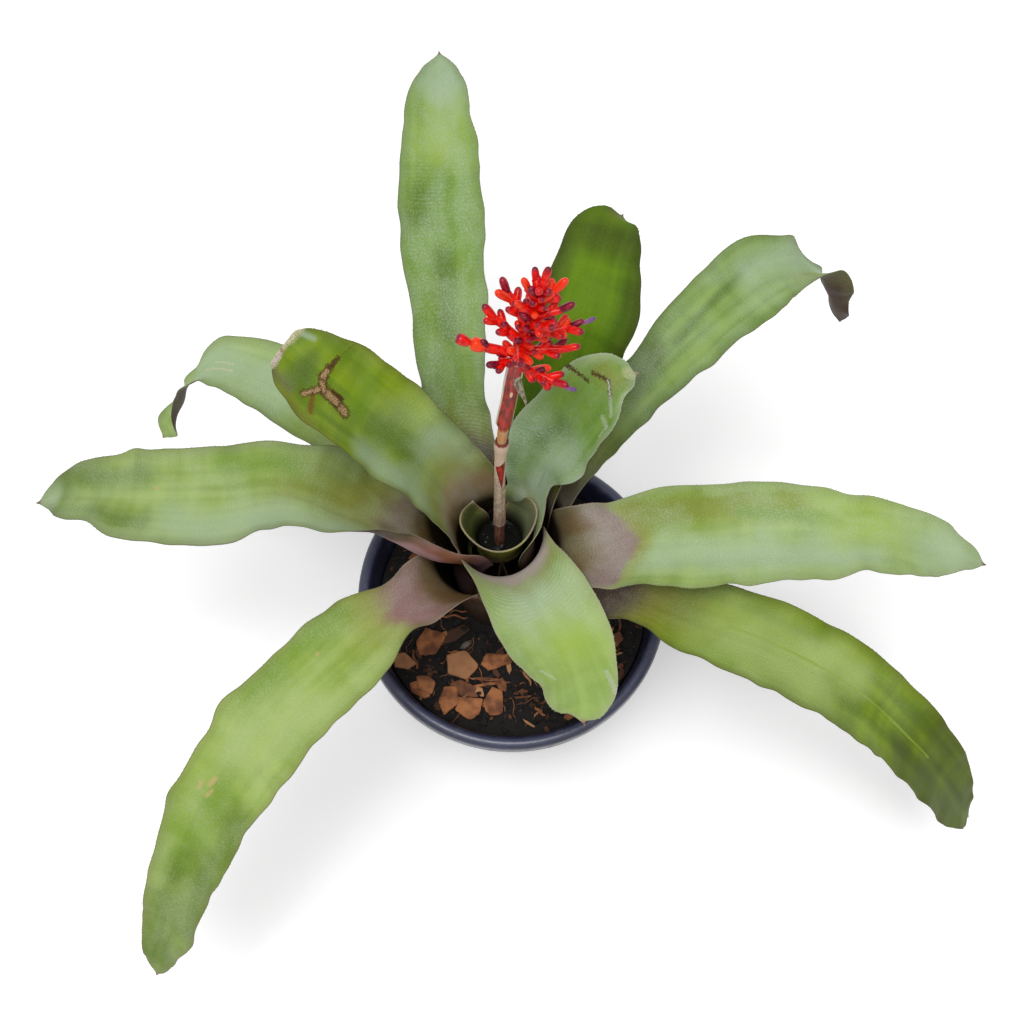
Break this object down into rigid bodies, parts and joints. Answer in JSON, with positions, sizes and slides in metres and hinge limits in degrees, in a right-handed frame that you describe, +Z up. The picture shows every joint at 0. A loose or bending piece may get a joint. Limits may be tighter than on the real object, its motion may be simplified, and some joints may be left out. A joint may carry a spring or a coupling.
{
  "type": "aechmea",
  "caption": "Flowering aechmea: strap leaves around a water cup, a red berry head on a bracted stem, in a dark plastic nursery pot.",
  "frame": {"origin": "centre of the pot's flat underside", "axes": "+Z up, -Y towards the short front leaf's side, +X towards the long right leaf"},
  "size_m": [0.5826, 0.5428, 0.4865],
  "materials": {
    "pot_plastic": "dark navy, satin moulded",
    "soil_black": "damp crumbly potting mix, stands in for soil",
    "stock_brown": "dull woody stem",
    "leaf_green": "satin living leaf with silvery scurf, stands in for leaf tissue",
    "stem_red": "waxy red stem, stands in for plant tissue",
    "bract_paper": "dry papery bract",
    "berry_red": "waxy scarlet berries, stands in for plant tissue",
    "bark": "rough dry bark"
  },
  "bodies": {
    "root": {"bark_chip_1": "bark", "bark_chip_2": "bark", "bark_chip_3": "bark", "bark_chip_4": "bark", "bark_chip_5": "bark", "bark_chip_6": "bark", "bark_chip_7": "bark", "bark_chip_8": "bark", "bark_chip_9": "bark", "dried_bract": "bract_paper", "flower_stem": "stem_red", "head_branch_01": "berry_red", "head_branch_02": "berry_red", "head_branch_03": "berry_red", "head_branch_04": "berry_red", "head_branch_05": "berry_red", "head_branch_06": "berry_red", "head_branch_07": "berry_red", "head_branch_08": "berry_red", "head_branch_09": "berry_red", "head_branch_10": "berry_red", "head_branch_11": "berry_red", "head_branch_12": "berry_red", "head_branch_13": "berry_red", "head_branch_14": "berry_red", "head_branch_15": "berry_red", "head_branch_16": "berry_red", "heart_leaf": "leaf_green", "leaf_back": "leaf_green", "leaf_back_inner": "leaf_green", "leaf_back_left": "leaf_green", "leaf_back_right": "leaf_green", "leaf_front": "leaf_green", "leaf_front_left": "leaf_green", "leaf_front_right": "leaf_green", "leaf_inner_right": "leaf_green", "leaf_left": "leaf_green", "leaf_right": "leaf_green", "leaf_upper_left": "leaf_green", "nursery_pot": "pot_plastic", "potting_mix": "soil_black", "stem_bract_lower": "bract_paper", "stem_bract_middle": "bract_paper", "stem_bract_upper": "bract_paper", "stock": "stock_brown"}
  },
  "joints": []
}
